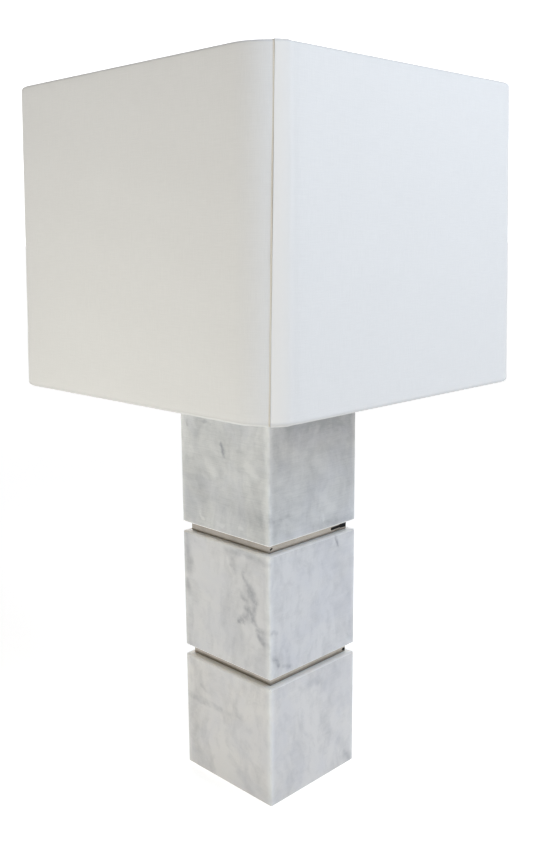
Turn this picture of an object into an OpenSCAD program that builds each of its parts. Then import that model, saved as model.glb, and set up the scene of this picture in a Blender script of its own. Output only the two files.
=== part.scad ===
// Table lamp: three marble cubes clamped on a threaded pipe, with a square fabric shade on a harp.
// It stands on z = 0 with its axis on the Z axis. The cord inlet faces +Y, and the harp lies along X.

/* [Marble blocks] */
// Width and depth of each marble block
block_side = 127; // [115:0.5:140]
// Height of each marble block
block_height = 127; // [110:0.5:140]
// Bevel along every edge of a block
block_bevel = 1.5; // [0.5:0.1:3]
// Hole drilled down each block for the pipe
block_bore_d = 13; // [11.5:0.5:16]

/* [Metal spacers] */
// Height of the metal plates between the blocks
spacer_height = 9.5; // [6:0.5:14]
// How far the plates stand back from the faces of the blocks
spacer_inset = 6.5; // [3:0.5:12]
// Bevel along the edges of the plates
spacer_bevel = 0.8; // [0.3:0.1:1.5]

/* [Foot] */
// Thickness of the felt pad
felt_thickness = 2; // [1:0.5:4]
// How far the felt stands back from the faces of the lowest block
felt_inset = 6; // [3:0.5:12]
// Rounding of the felt's corners
felt_corner = 8; // [2:0.5:15]
// Width of the round recess under the lowest block
recess_d = 50; // [46:0.5:56]
// Depth of the recess under the lowest block
recess_depth = 24; // [22:0.5:30]

/* [Cord inlet] */
// Height of the cord hole's centre above the underside of the lowest block
inlet_height = 12; // [10:0.5:15]
// Cord hole through the back of the lowest block
inlet_hole_d = 10; // [9:0.5:12]
// Bore of the bushing that the cord passes
bushing_bore_d = 7; // [6:0.1:7.5]
// Width of the bushing's flange
bushing_flange_d = 16; // [14:0.5:20]
// Thickness of the bushing's flange
bushing_flange = 1.5; // [1:0.1:3]
// Length of the bushing inside the hole
bushing_length = 16; // [10:0.5:25]

/* [Pipe and nuts] */
// Outer diameter of the threaded pipe
pipe_d = 10.2; // [9.5:0.1:10.8]
// Bore of the threaded pipe
pipe_bore_d = 6.8; // [6:0.1:7.4]
// Length of pipe below the bottom nut
pipe_tail = 5; // [2:0.5:8]
// Width across the flats of the bottom nut
nut_across = 19; // [16:0.5:22]
// Height of the bottom nut
nut_height = 5; // [4:0.5:7]
// Width of the spring washer over the nut
lockwasher_d = 18; // [15:0.5:20]
// Thickness of the spring washer
lockwasher_thickness = 1.2; // [0.8:0.1:2]
// Width of the steel washer against the marble
washer_d = 42; // [30:0.5:44]
// Thickness of the steel washer
washer_thickness = 2; // [1:0.1:3]

/* [Neck] */
// Width of the turned ring on the top block
check_ring_d = 50; // [30:0.5:60]
// Height of the turned ring
check_ring_height = 3; // [2:0.5:6]
// Diameter of the neck under the harp
neck_d = 19; // [16:0.5:24]
// Height of the neck
neck_height = 12; // [8:0.5:20]
// Width across the flats of the nut that holds the saddle
locknut_across = 16; // [14:0.5:18]
// Height of the nut that holds the saddle
locknut_height = 3.2; // [2.5:0.1:5]

/* [Harp] */
// Height from the underside of the saddle to the shoulder that the shade rests on
harp_height = 266.5; // [255:0.5:280]
// Distance between the centrelines of the legs at the saddle
leg_spacing = 64; // [60:0.5:72]
// Distance between the centrelines of the legs at the widest point
harp_width = 114; // [108:0.5:120]
// Diameter of the wire
wire_d = 4; // [3:0.1:4.6]
// Height of the straight legs above the underside of the saddle
leg_height = 40; // [36:0.5:44]
// Radius of the bend where each leg turns outwards
flare_radius = 60; // [40:1:80]
// Half the length of the straight top of the wire
top_half = 10; // [8:0.5:12]
// Radius of the bend at each end of the straight top
top_radius = 29; // [24:1:34]
// Width of the strip of the saddle
saddle_width = 14; // [12:0.5:18]
// Thickness of the strip of the saddle
saddle_thickness = 1.6; // [1.2:0.1:2.5]
// Diameter of the posts at the ends of the saddle
post_d = 4.8; // [4.7:0.1:6]
// Height of the posts above the underside of the saddle
post_height = 14; // [10:0.5:16]
// Wall of the ferrules
ferrule_wall = 1.2; // [0.8:0.1:2]
// Length of the ferrules
ferrule_length = 18; // [16:0.5:22]
// Diameter of the brass crown
crown_d = 12; // [10:0.5:15]
// Height of the crown above the top of the wire
crown_shoulder = 4.5; // [3:0.5:7]
// Depth of the crown below the wire
crown_skirt = 2; // [1:0.5:4]
// Diameter of the threaded stud on the crown
stud_d = 6.35; // [5:0.05:7]
// Length of the stud above the shoulder
stud_length = 15; // [12:0.5:17]

/* [Socket] */
// Diameter of the bulb's screw base, which the socket is sized from
bulb_base_d = 26; // [24:0.5:27]
// Height of the socket from the underside of its cap to its rim
socket_height = 57; // [50:0.5:65]
// Wall of the brass shell
shell_wall = 0.8; // [0.6:0.1:1.2]
// Wall of the cap
cap_wall = 1; // [0.8:0.1:1.5]
// Wall of the paper liner
liner_wall = 0.7; // [0.5:0.1:1]
// Wall of the screw shell
screw_wall = 0.5; // [0.4:0.1:0.8]
// Diameter of the threaded hub of the cap
hub_d = 15; // [14:0.5:18]
// Height of the threaded hub of the cap
hub_height = 6.5; // [5:0.5:9]
// Radius of the dome of the cap
dome_radius = 10; // [9:0.5:11]
// Height of the straight lip of the cap
lip_height = 5; // [4:0.5:8]
// Height of the switch body
switch_height = 15; // [13:0.5:17]
// Diameter of the switch shaft
shaft_d = 3; // [2:0.1:4]
// Diameter of the switch knob
knob_d = 11; // [9:0.5:14]
// Length of the switch knob
knob_length = 13; // [9:0.5:18]
// Clear space between the shell and the knob
knob_gap = 3; // [1:0.5:6]
// Number of flutes round the knob
knob_flutes = 10; // [6:1:16]

/* [Bulb] */
// Length of the bulb from its contact to the top of the glass
bulb_length = 108; // [104:0.5:125]
// Greatest diameter of the glass
bulb_d = 60; // [50:0.5:65]
// Wall of the glass
bulb_wall = 1; // [0.6:0.1:1.5]
// Height of the bulb's base, with its contact
bulb_base_height = 25; // [23:0.5:28]
// Radius of the hollow between the neck and the round of the glass
bulb_waist = 40; // [30:1:50]

/* [Shade] */
// Outer width of the shade along its top edge
shade_top_side = 349; // [330:1:360]
// Outer width of the shade along its bottom edge
shade_bottom_side = 362; // [340:1:380]
// Height of the shade
shade_height = 282.5; // [250:0.5:300]
// Radius of the upright corners at the bottom edge
shade_corner = 38; // [25:0.5:50]
// Drop from the top edge of the shade to the underside of its hub
shade_drop = 20.5; // [16:0.5:30]
// Thickness of the fabric
fabric_thickness = 0.6; // [0.4:0.1:1]
// Thickness of the stiff liner that the fabric is glued to
shade_liner_thickness = 0.8; // [0.5:0.1:1.5]
// Diameter of the wire of the shade's two rings
frame_wire_d = 3; // [2.5:0.1:4]
// Diameter of the wire of the four arms between the top ring and the hub
arm_wire_d = 2.6; // [2:0.1:2.8]
// Depth of the hems turned inside the shade
hem_depth = 8; // [6:0.5:10]
// Width of the overlap where the fabric is joined
lap_width = 12; // [8:0.5:20]
// Distance of the overlap's edge from the middle of its corner
lap_offset = 3; // [0:0.5:8]
// Diameter of the hub of the frame
shade_hub_d = 36; // [28:0.5:44]
// Thickness of the hub of the frame
shade_hub_thickness = 2; // [1.5:0.1:3]
// Radius at which the arms turn up towards the top ring
arm_bend = 9; // [6:0.5:11]

/* [Finial] */
// Height of the finial
finial_height = 30; // [26:0.5:40]
// Diameter of the finial's ball
finial_ball_d = 18; // [14:0.5:22]
// Diameter of the finial's foot
finial_foot_d = 14; // [12:0.5:18]

/* [Clearances] */
// Space on each side between pieces that screw or press together
fit = 0.05; // [0.02:0.01:0.1]
// Space between pieces that move apart
body_gap = 0.3; // [0.2:0.05:0.5]
// Space between layers that are glued or wrapped
layer_gap = 0.1; // [0.05:0.01:0.2]

/* [Hidden] */
$fn = 64;
over = 1;
wire_sides = 12;

// Heights of the stack, from the floor up
z_block = [for (i = [0:2]) felt_thickness + i * (block_height + spacer_height)];
z_spacer = [for (i = [0:1]) z_block[i] + block_height];
z_ring = z_block[2] + block_height;
z_neck = z_ring + check_ring_height;
z_saddle = z_neck + neck_height;
z_locknut = z_saddle + saddle_thickness;
z_socket = z_locknut + locknut_height;
z_shoulder = z_saddle + harp_height;

// Nuts under the lowest block
z_washer = felt_thickness + recess_depth - washer_thickness;
z_lockwasher = z_washer - lockwasher_thickness;
z_nut = z_lockwasher - nut_height;
z_pipe = z_nut - pipe_tail;
z_inlet = felt_thickness + inlet_height;
pipe_top = z_socket + hub_height;

// Socket, from the bulb's base outwards
screw_r = bulb_base_d / 2 + body_gap;
liner_r = screw_r + screw_wall + layer_gap;
shell_r = liner_r + liner_wall + layer_gap;
lip_r = shell_r + shell_wall + layer_gap;
cap_r = lip_r + cap_wall;
z_lip = hub_height + dome_radius;
switch_rise = 3;
z_switch = z_lip + switch_rise;
z_screw = z_switch + switch_height;
z_shaft = z_switch + switch_height / 2;
switch_r = liner_r - layer_gap;
switch_flange = 2;
flat_depth = 4;
switch_flat = switch_r - flat_depth;
screw_head_d = 6;
screw_head = 2;
screw_shank = 5;
screw_slot = 1;
screw_floor_bore_d = 16;
contact_height = 2;
contact_width = 5;
shaft_root = 2;
shaft_end_gap = 1;
knob_start = shell_r + shell_wall + knob_gap;

// Spaces round the switch shaft in the shell and in the liner, and drops from the socket's rim
shell_slot_gap = 2.5;
liner_slot_gap = 1.5;
shell_bead_rise = 1;
liner_drop = 1;
screw_drop = 2;

// Bulb, measured from its contact
z_bulb = z_socket + z_screw + contact_height + body_gap;
bulb_neck_flare = 1.2;
bulb_neck_r = bulb_base_d / 2 + bulb_neck_flare;
bulb_centre = bulb_length - bulb_d / 2;
bulb_tip = 2;
bulb_tip_d = 6;
bulb_tip_root_d = 9;
bulb_skirt = 5;
insulator_d = 10;
insulator_inset = 2;
waist_x = bulb_neck_r + bulb_waist;
waist_drop = sqrt((bulb_d / 2 + bulb_waist) ^ 2 - waist_x ^ 2);
waist_turn = atan2(waist_drop, waist_x);

// Harp: the widening arc, the long arc at the side and the small arc at the top.
// The legs lean outwards to the angle at which the three arcs reach the harp's height.
least_lean = 15;
greatest_lean = 40;
halvings = 30;
z_wire_top = harp_height - crown_shoulder - wire_d / 2;
bow = (harp_width - leg_spacing) / 2;
flare_angle = lean_for(z_wire_top - leg_height, least_lean, greatest_lean, halvings);
side_radius = side_at(flare_angle);
z_wide = leg_height + bow / tan(flare_angle / 2);
side_x = harp_width / 2 - side_radius;
side_end = asin((z_wire_top - z_wide - top_radius) / (side_radius - top_radius));

// Angles left out where one arc follows another, so that no two points of a path lie too close
side_skip = 12;
top_skip = 8;
glass_skip = 6;

// Radius of the long arc when the legs lean to an angle
function side_at(angle) = bow / (1 - cos(angle)) - flare_radius;
// Height of the wire's top above its straight legs at that angle
function rise_at(angle) =
    let (reach = harp_width / 2 - top_half)
        bow / tan(angle / 2) + top_radius
            + sqrt((reach - top_radius) * (2 * side_at(angle) - top_radius - reach));
// The angle between low and high that gives a rise, found by halving
function lean_for(rise, low, high, turns) =
    let (middle = (low + high) / 2)
        turns == 0 ? middle
            : rise_at(middle) > rise ? lean_for(rise, middle, high, turns - 1)
            : lean_for(rise, low, middle, turns - 1);

// Shade
z_hub = z_shoulder + body_gap;
z_shade_top = z_hub + shade_drop;
z_shade_bottom = z_shade_top - shade_height;
liner_inset = fabric_thickness + layer_gap;
wire_inset = liner_inset + shade_liner_thickness + layer_gap + frame_wire_d / 2;
hem_inset = wire_inset + frame_wire_d / 2 + layer_gap;
hem_radius = (hem_inset + fabric_thickness) / 2;
z_top_wire = z_shade_top - hem_radius;
z_bottom_wire = z_shade_bottom + hem_radius;
z_arm = z_hub + shade_hub_thickness + arm_wire_d / 2;
arm_gap = 1;
arm_start = finial_foot_d / 2 + arm_gap;
arm_reach = shade_side(z_top_wire) / 2 - wire_inset;
notch_gap = 0.5;

// Finial
z_finial = z_hub + shade_hub_thickness + body_gap;
finial_bore = z_shoulder + stud_length - z_finial + body_gap;

function shade_side(z) =
    shade_bottom_side + (shade_top_side - shade_bottom_side) * (z - z_shade_bottom) / shade_height;
function corner_at(z) = shade_corner * shade_side(z) / shade_bottom_side;

// Square with its corners cut off, for bevelled edges
module bevelled_square(width, height, bevel) {
    x = width / 2;
    y = height / 2;
    polygon([
        [x - bevel, -y], [x, -y + bevel], [x, y - bevel], [x - bevel, y],
        [-x + bevel, y], [-x, y - bevel], [-x, -y + bevel], [-x + bevel, -y]
    ]);
}

// Square slab with every edge bevelled, standing on z = 0
module bevelled_slab(side, height, bevel) {
    translate([0, 0, height / 2])
        intersection() {
            linear_extrude(height, center = true) bevelled_square(side, side, bevel);
            rotate([90, 0, 0]) linear_extrude(side, center = true) bevelled_square(side, height, bevel);
            rotate([90, 0, 90]) linear_extrude(side, center = true) bevelled_square(side, height, bevel);
        }
}

// Flat ring standing on z = 0
module ring(outer_d, inner_d, height) {
    difference() {
        cylinder(d = outer_d, h = height);
        translate([0, 0, -over]) cylinder(d = inner_d, h = height + 2 * over);
    }
}

// Hexagonal nut standing on z = 0
module hex_nut(across, height) {
    difference() {
        cylinder(d = across / cos(30), h = height, $fn = 6);
        translate([0, 0, -over]) cylinder(d = pipe_d + 2 * fit, h = height + 2 * over);
    }
}

module marble_block(level) {
    translate([0, 0, z_block[level]])
        difference() {
            bevelled_slab(block_side, block_height, block_bevel);
            translate([0, 0, -over]) cylinder(d = block_bore_d, h = block_height + 2 * over);
        }
}

module spacer(level) {
    color("silver")
        translate([0, 0, z_spacer[level]])
            difference() {
                bevelled_slab(block_side - 2 * spacer_inset, spacer_height, spacer_bevel);
                translate([0, 0, -over]) cylinder(d = pipe_d + 2 * fit, h = spacer_height + 2 * over);
            }
}

module felt_pad() {
    side = block_side - 2 * felt_inset;
    inner = side / 2 - felt_corner;
    color("dimgray")
        linear_extrude(felt_thickness) {
            square([side, 2 * inner], center = true);
            square([2 * inner, side], center = true);
            for (x = [-inner, inner], y = [-inner, inner])
                translate([x, y]) circle(r = felt_corner);
        }
}

// The lowest block also has the recess for the nut and the hole for the cord
module lower_block() {
    color("whitesmoke")
        difference() {
            marble_block(0);
            translate([0, 0, felt_thickness - over]) cylinder(d = recess_d, h = recess_depth + over);
            translate([0, 0, z_inlet]) rotate([-90, 0, 0]) cylinder(d = inlet_hole_d, h = block_side);
        }
}

module middle_block() {
    color("whitesmoke") marble_block(1);
}

module upper_block() {
    color("whitesmoke") marble_block(2);
}

module lower_spacer() {
    spacer(0);
}

module upper_spacer() {
    spacer(1);
}

module cord_bushing() {
    color("black")
        translate([0, block_side / 2, z_inlet])
            rotate([90, 0, 0])
                difference() {
                    union() {
                        cylinder(d = inlet_hole_d - 2 * fit, h = bushing_length);
                        translate([0, 0, -bushing_flange]) cylinder(d = bushing_flange_d, h = bushing_flange);
                    }
                    translate([0, 0, -bushing_flange - over])
                        cylinder(d = bushing_bore_d, h = bushing_length + bushing_flange + 2 * over);
                }
}

module lamp_pipe() {
    color("goldenrod")
        translate([0, 0, z_pipe]) ring(pipe_d, pipe_bore_d, pipe_top - z_pipe);
}

module bottom_washer() {
    color("gray")
        translate([0, 0, z_washer]) ring(washer_d, pipe_d + 2 * fit, washer_thickness);
}

// Spring washer, slit on one side
module bottom_lockwasher() {
    slit = 1.5;
    color("gray")
        translate([0, 0, z_lockwasher])
            difference() {
                ring(lockwasher_d, pipe_d + 2 * fit, lockwasher_thickness);
                translate([0, -slit / 2, -over]) cube([lockwasher_d, slit, lockwasher_thickness + 2 * over]);
            }
}

module bottom_nut() {
    color("goldenrod")
        translate([0, 0, z_nut]) hex_nut(nut_across, nut_height);
}

// Low turned ring with a rounded edge
module check_ring() {
    edge = check_ring_height / 2;
    color("silver")
        translate([0, 0, z_ring])
            difference() {
                union() {
                    cylinder(d = check_ring_d - 2 * edge, h = check_ring_height);
                    rotate_extrude() translate([check_ring_d / 2 - edge, edge]) circle(r = edge);
                }
                translate([0, 0, -over]) cylinder(d = pipe_d + 2 * fit, h = check_ring_height + 2 * over);
            }
}

// Turned neck with a bead at each end
module neck() {
    bead = 1;
    color("silver")
        translate([0, 0, z_neck])
            difference() {
                union() {
                    cylinder(d = neck_d - 2 * bead, h = neck_height);
                    for (z = [bead, neck_height - bead])
                        rotate_extrude() translate([neck_d / 2 - bead, z]) circle(r = bead);
                }
                translate([0, 0, -over]) cylinder(d = pipe_d + 2 * fit, h = neck_height + 2 * over);
            }
}

module saddle_locknut() {
    color("goldenrod")
        translate([0, 0, z_locknut]) hex_nut(locknut_across, locknut_height);
}

// Strip with a round post at each end, clamped over the neck
module harp_saddle() {
    color("silver")
        translate([0, 0, z_saddle]) {
            linear_extrude(saddle_thickness)
                difference() {
                    union() {
                        square([leg_spacing, saddle_width], center = true);
                        for (x = [-1, 1] * leg_spacing / 2)
                            translate([x, 0]) circle(d = saddle_width);
                    }
                    circle(d = pipe_d + 2 * fit);
                }
            for (x = [-1, 1] * leg_spacing / 2)
                translate([x, 0, 0]) cylinder(d = post_d, h = post_height);
        }
}

// Points on an arc, from one angle to another round its centre
function arc_path(centre, radius, from, to, steps) =
    [for (i = [0:steps]) let (a = from + (to - from) * i / steps) centre + radius * [cos(a), sin(a)]];

// Round wire swept along a path in the XZ plane
module swept_wire(path, d) {
    last = len(path) - 1;
    rings = [for (i = [0:last])
        let (step = path[min(i + 1, last)] - path[max(i - 1, 0)], along = step / norm(step))
            for (k = [0:wire_sides - 1])
                let (a = k * 360 / wire_sides, out = d / 2 * cos(a))
                    [path[i].x + out * along.y, d / 2 * sin(a), path[i].y - out * along.x]];
    sides = [for (i = [0:last - 1], k = [0:wire_sides - 1])
        let (a = i * wire_sides, b = a + wire_sides, next = (k + 1) % wire_sides)
            [a + k, b + k, b + next, a + next]];
    start = [for (k = [0:wire_sides - 1]) k];
    end = [for (k = [wire_sides - 1:-1:0]) last * wire_sides + k];
    polyhedron(rings, concat([start, end], sides), convexity = 6);
}

// Right half of the harp's centreline, from the post to the middle of the top
half_harp = concat(
    [[leg_spacing / 2, post_height]],
    arc_path([leg_spacing / 2 + flare_radius, leg_height], flare_radius, 180, 180 - flare_angle, 4),
    arc_path([side_x, z_wide], side_radius, side_skip - flare_angle, side_end, 11),
    arc_path([top_half, z_wire_top - top_radius], top_radius, side_end + top_skip, 90, 6)
);

// One bent wire, from the top of one post of the saddle to the top of the other
module harp_wire() {
    other_half = [for (i = [len(half_harp) - 1:-1:0]) [-half_harp[i].x, half_harp[i].y]];
    color("silver")
        translate([0, 0, z_saddle]) swept_wire(concat(half_harp, other_half), wire_d);
}

// Brass crown pinned on the wire, with the stud for the shade and the finial
module harp_crown() {
    depth = crown_skirt + wire_d + crown_shoulder;
    color("goldenrod")
        translate([0, 0, z_shoulder])
            difference() {
                union() {
                    translate([0, 0, -depth]) cylinder(d = crown_d, h = depth);
                    cylinder(d = stud_d, h = stud_length);
                }
                translate([-crown_d, 0, -crown_shoulder - wire_d / 2])
                    rotate([0, 90, 0]) cylinder(d = wire_d + 2 * fit, h = 2 * crown_d);
            }
}

// Sleeve that locks a leg of the harp to its post
module ferrule(side) {
    bore = post_d + 2 * fit;
    bead = ferrule_wall / 2;
    color("silver")
        translate([side * leg_spacing / 2, 0, z_locknut + body_gap])
            difference() {
                union() {
                    cylinder(d = bore + 2 * ferrule_wall, h = ferrule_length);
                    for (z = [bead, ferrule_length - bead])
                        rotate_extrude() translate([bore / 2 + ferrule_wall, z]) circle(r = bead);
                }
                translate([0, 0, -over]) cylinder(d = bore, h = ferrule_length + 2 * over);
            }
}

module left_ferrule() {
    ferrule(-1);
}

module right_ferrule() {
    ferrule(1);
}

// Half section of the solid form of the cap, or of its hollow when it is drawn smaller
module dome_section(radius, edge, floor_z) {
    translate([0, floor_z]) square([edge - radius, z_lip + lip_height - floor_z]);
    translate([0, z_lip]) square([edge, lip_height]);
    intersection() {
        translate([edge - radius, z_lip]) circle(r = radius);
        square([edge, z_lip]);
    }
}

module socket_cap() {
    color("goldenrod")
        translate([0, 0, z_socket])
            rotate_extrude()
                difference() {
                    union() {
                        dome_section(dome_radius, cap_r, hub_height);
                        square([hub_d / 2, hub_height]);
                    }
                    dome_section(dome_radius - cap_wall, lip_r, hub_height + cap_wall);
                    translate([0, z_lip]) square([lip_r, lip_height + over]);
                    translate([0, -over]) square([pipe_d / 2 + fit, z_lip]);
                }
}

// Hole through one side of a tube for the switch shaft, open to the tube's lower end
module shaft_slot(width) {
    translate([0, 0, z_shaft]) rotate([90, 0, 0]) cylinder(d = width, h = 2 * cap_r);
    translate([-width / 2, -2 * cap_r, 0]) cube([width, 2 * cap_r, z_shaft]);
}

module socket_shell() {
    bead = shell_wall / 2;
    color("goldenrod")
        translate([0, 0, z_socket])
            difference() {
                union() {
                    translate([0, 0, z_lip + body_gap])
                        ring(2 * (shell_r + shell_wall), 2 * shell_r, socket_height - z_lip - body_gap);
                    for (z = [z_lip + lip_height + shell_bead_rise, socket_height - bead])
                        rotate_extrude() translate([shell_r + shell_wall, z]) circle(r = bead);
                }
                shaft_slot(shaft_d + 2 * shell_slot_gap);
            }
}

module socket_liner() {
    color("tan")
        translate([0, 0, z_socket])
            difference() {
                translate([0, 0, z_switch])
                    ring(2 * (liner_r + liner_wall), 2 * liner_r, socket_height - liner_drop - z_switch);
                shaft_slot(shaft_d + 2 * liner_slot_gap);
            }
}

// Moulded body of the switch, with flats for the terminal screws
module switch_body() {
    color("saddlebrown")
        translate([0, 0, z_socket])
            difference() {
                translate([0, 0, z_switch]) cylinder(r = switch_r, h = switch_height);
                for (side = [-1, 1]) {
                    translate([side * (switch_flat + switch_r) - switch_r, -switch_r, z_switch - over])
                        cube([2 * switch_r, 2 * switch_r, switch_height - switch_flange + over]);
                    translate([0, 0, z_shaft]) rotate([0, side * 90, 0])
                        cylinder(d = shaft_d + 2 * fit, h = switch_r);
                }
                translate([0, -shaft_root, z_shaft]) rotate([90, 0, 0])
                    cylinder(d = shaft_d + 2 * fit, h = switch_r);
            }
}

// Two screws with slotted heads, one on each flat of the switch body
module terminal_screws() {
    color("goldenrod")
        translate([0, 0, z_socket + z_shaft])
            for (side = [-1, 1])
                rotate([0, side * 90, 0]) {
                    difference() {
                        translate([0, 0, switch_flat]) cylinder(d = screw_head_d, h = screw_head);
                        translate([-screw_slot / 2, -screw_head_d, switch_flat + screw_head / 2])
                            cube([screw_slot, 2 * screw_head_d, screw_head]);
                    }
                    translate([0, 0, switch_flat - screw_shank]) cylinder(d = shaft_d, h = screw_shank);
                }
}

// Thin screw shell that the bulb turns into, with an open floor
module screw_shell() {
    color("silver")
        translate([0, 0, z_socket + z_screw]) {
            ring(2 * (screw_r + screw_wall), 2 * screw_r, socket_height - screw_drop - z_screw);
            ring(2 * (screw_r + screw_wall), screw_floor_bore_d, screw_wall);
        }
}

// Bent brass strip that presses up on the bulb's contact
module centre_contact() {
    strip = 0.6;
    heel = 6;
    toe = 4;
    tongue = 1.5;
    crease = 1.4;
    heel_rise = 0.3;
    color("goldenrod")
        translate([0, contact_width / 2, z_socket + z_screw])
            rotate([90, 0, 0])
                linear_extrude(contact_width)
                    polygon([
                        [-heel, 0], [toe, 0], [toe, strip], [crease - heel, strip],
                        [tongue, contact_height - strip], [tongue, contact_height], [-heel, strip + heel_rise]
                    ]);
}

module switch_shaft() {
    start = shaft_root + shaft_end_gap;
    color("goldenrod")
        translate([0, -start, z_socket + z_shaft])
            rotate([90, 0, 0]) cylinder(d = shaft_d, h = knob_start + knob_length / 2 - start);
}

// Fluted knob with a rounded end
module switch_knob() {
    flute_share = 0.22;
    flute_d = flute_share * knob_d;
    dome = 3;
    color("black")
        translate([0, -knob_start, z_socket + z_shaft])
            rotate([90, 0, 0])
                difference() {
                    union() {
                        cylinder(d = knob_d, h = knob_length - dome);
                        translate([0, 0, knob_length - dome]) cylinder(d = knob_d - 2 * dome, h = dome);
                        rotate_extrude()
                            intersection() {
                                translate([knob_d / 2 - dome, knob_length - dome]) circle(r = dome);
                                square([knob_d, knob_length]);
                            }
                    }
                    translate([0, 0, -over]) cylinder(d = shaft_d + 2 * fit, h = knob_length / 2 + over);
                    for (i = [0:knob_flutes - 1])
                        rotate(i * 360 / knob_flutes)
                            translate([knob_d / 2 + flute_d / 4, 0, -over])
                                cylinder(d = flute_d, h = knob_length);
                }
}

module bulb_contact() {
    color("goldenrod")
        translate([0, 0, z_bulb]) cylinder(d1 = bulb_tip_d, d2 = bulb_tip_root_d, h = bulb_tip);
}

module bulb_insulator() {
    color("black")
        translate([0, 0, z_bulb + bulb_tip])
            cylinder(d1 = insulator_d, d2 = bulb_base_d - 2 * insulator_inset, h = bulb_skirt - bulb_tip);
}

module bulb_base() {
    flare = 2;
    color("silver")
        translate([0, 0, z_bulb + bulb_skirt]) {
            cylinder(d = bulb_base_d, h = bulb_base_height - bulb_skirt - flare);
            translate([0, 0, bulb_base_height - bulb_skirt - flare])
                cylinder(r1 = bulb_base_d / 2, r2 = bulb_neck_r, h = flare);
        }
}

// Side of the glass from its neck to its top, set in by inset
function bulb_side(inset) = concat(
    [[bulb_neck_r - inset, bulb_base_height]],
    arc_path([waist_x, bulb_centre - waist_drop], bulb_waist + inset, 180, 180 - waist_turn, 8),
    arc_path([0, bulb_centre], bulb_d / 2 - inset, glass_skip - waist_turn, 90, 20)
);

module bulb_glass() {
    outer = bulb_side(0);
    inner = bulb_side(bulb_wall);
    color("ivory")
        translate([0, 0, z_bulb])
            rotate_extrude() polygon(concat(outer, [for (i = [len(inner) - 1:-1:0]) inner[i]]));
}

module rounded_square(side, radius) {
    offset(r = radius) square(side - 2 * radius, center = true);
}

// Tapered block in the form of the shade, set in from its outer face
module shade_form(inset, z_low, z_high) {
    low = shade_side(z_low) - 2 * inset;
    high = shade_side(z_high) - 2 * inset;
    translate([0, 0, z_low])
        linear_extrude(z_high - z_low, scale = high / low) rounded_square(low, corner_at(z_low) - inset);
}

module shade_wall(inset, thickness, z_low, z_high) {
    difference() {
        shade_form(inset, z_low, z_high);
        shade_form(inset + thickness, z_low - over, z_high + over);
    }
}

module shade_liner() {
    color("white")
        shade_wall(liner_inset, shade_liner_thickness, z_bottom_wire, z_top_wire);
}

module shade_fabric() {
    color("ivory")
        shade_wall(0, fabric_thickness, z_bottom_wire, z_top_wire);
}

// The fabric's end, lapped over its start beside the middle of one corner
module seam_lap() {
    color("ivory")
        intersection() {
            shade_wall(-layer_gap - fabric_thickness, fabric_thickness, z_bottom_wire, z_top_wire);
            rotate(-45)
                translate([lap_offset, -shade_bottom_side, z_shade_bottom])
                    cube([lap_width, shade_bottom_side, shade_height]);
        }
}

// Sweeps a section round a rounded square; x runs outwards from the path and y upwards
module square_loop(side, radius) {
    run = side - 2 * radius;
    for (turn = [0:3])
        rotate(90 * turn) {
            translate([side / 2, run / 2, 0]) rotate([90, 0, 0]) linear_extrude(run) children();
            translate([run / 2, run / 2, 0]) rotate_extrude(angle = 90) translate([radius, 0]) children();
        }
}

module frame_ring(z) {
    translate([0, 0, z])
        square_loop(shade_side(z) - 2 * wire_inset, corner_at(z) - wire_inset) circle(d = frame_wire_d);
}

module top_ring() {
    color("gainsboro") frame_ring(z_top_wire);
}

module bottom_ring() {
    color("gainsboro") frame_ring(z_bottom_wire);
}

// Washer that sits on the harp, under the finial
module shade_hub() {
    color("gainsboro")
        translate([0, 0, z_hub]) ring(shade_hub_d, stud_d + 2 * body_gap, shade_hub_thickness);
}

// Bent wire, welded on the hub and under the top ring, and turned round the axis from +X
module frame_arm(turn) {
    color("gainsboro")
        rotate(turn) {
            translate([arm_start, 0, z_arm])
                rotate([0, 90, 0]) cylinder(d = arm_wire_d, h = arm_reach - arm_bend - arm_start);
            translate([arm_reach - arm_bend, 0, z_arm + arm_bend])
                rotate([90, 0, 0]) rotate([0, 0, -90])
                    rotate_extrude(angle = 90) translate([arm_bend, 0]) circle(d = arm_wire_d);
            translate([arm_reach, 0, z_arm + arm_bend])
                cylinder(d = arm_wire_d, h = z_top_wire - frame_wire_d / 2 - z_arm - arm_bend);
        }
}

module right_arm() {
    frame_arm(0);
}

module back_arm() {
    frame_arm(90);
}

module left_arm() {
    frame_arm(180);
}

module front_arm() {
    frame_arm(270);
}

// Hem that wraps the frame's wire; the section is for the top edge
module hem(z) {
    translate([0, 0, z])
        square_loop(shade_side(z), corner_at(z)) {
            translate([-hem_radius, 0])
                difference() {
                    circle(r = hem_radius);
                    circle(r = hem_radius - fabric_thickness);
                    translate([-2 * hem_radius, -2 * hem_radius]) square([4 * hem_radius, 2 * hem_radius]);
                }
        }
    translate([0, 0, z])
        square_loop(shade_side(z) - 2 * hem_inset, corner_at(z) - hem_inset)
            translate([-fabric_thickness, -hem_depth]) square([fabric_thickness, hem_depth]);
}

// The top hem is notched round the arms of the frame
module top_hem() {
    notch = arm_wire_d + 2 * notch_gap;
    color("ivory")
        difference() {
            hem(z_top_wire);
            for (turn = [0:3])
                rotate(90 * turn)
                    translate([arm_reach, -notch / 2, z_top_wire - hem_depth - over])
                        mirror([1, 0, 0]) cube([2 * hem_radius, notch, hem_depth + over]);
        }
}

module bottom_hem() {
    color("ivory")
        translate([0, 0, z_bottom_wire]) mirror([0, 0, 1]) translate([0, 0, -z_bottom_wire])
            hem(z_bottom_wire);
}

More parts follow.
